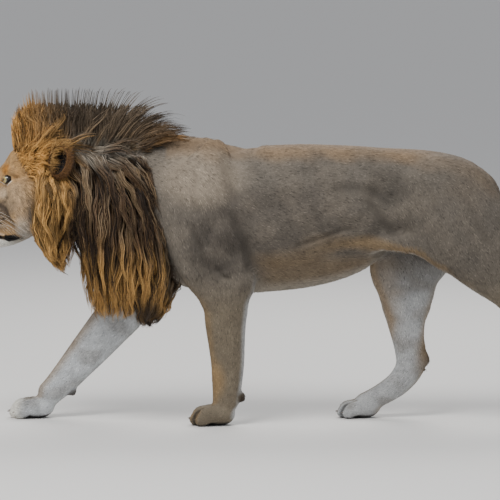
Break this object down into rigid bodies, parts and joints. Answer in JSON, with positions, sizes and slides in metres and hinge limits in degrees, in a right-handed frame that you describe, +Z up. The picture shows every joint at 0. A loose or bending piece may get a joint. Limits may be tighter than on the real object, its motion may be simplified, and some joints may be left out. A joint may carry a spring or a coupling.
{
  "type": "lion",
  "caption": "Life-size still model of a male lion walking, head low and level, with a full dark mane and a hanging tufted tail.",
  "frame": {"origin": "middle of the whole animal's box seen from above, on the floor under its paws", "axes": "+Z up; the lion faces -X, its left side is towards -Y"},
  "size_m": [2.4816, 0.4876, 1.3157],
  "materials": {
    "coat": "short flat fur, taupe grey-brown above, paler on the inside of the legs and the belly",
    "mane": "long wavy locks, golden round the face, dark brown to black on the neck",
    "dark_hair": "black-brown hair of the tail tuft",
    "eye": "wet, glossy, pale amber iris with a small round pupil",
    "claw": "dark horn, satin"
  },
  "bodies": {
    "root": {"forepaw_left": "coat", "forepaw_right": "coat", "hind_foot_left": "coat", "hind_foot_right": "coat", "forearm_left": "coat", "forearm_right": "coat", "shank_left": "coat", "shank_right": "coat", "shoulder_left": "coat", "shoulder_right": "coat", "thigh_left": "coat", "thigh_right": "coat", "head": "coat", "lower_jaw": "coat", "neck": "coat", "trunk": "coat", "ear_left": "coat", "ear_right": "coat", "tail": "coat", "eye_left": "eye", "eye_right": "eye", "tail_tuft": "dark_hair", "claw_forepaw_left_1": "claw", "claw_forepaw_left_2": "claw", "claw_forepaw_left_3": "claw", "claw_forepaw_left_4": "claw", "claw_forepaw_right_1": "claw", "claw_forepaw_right_2": "claw", "claw_forepaw_right_3": "claw", "claw_forepaw_right_4": "claw", "claw_hind_foot_left_1": "claw", "claw_hind_foot_left_2": "claw", "claw_hind_foot_left_3": "claw", "claw_hind_foot_left_4": "claw", "claw_hind_foot_right_1": "claw", "claw_hind_foot_right_2": "claw", "claw_hind_foot_right_3": "claw", "claw_hind_foot_right_4": "claw", "mane_crest": "mane", "mane_left": "mane", "mane_right": "mane"}
  },
  "joints": []
}
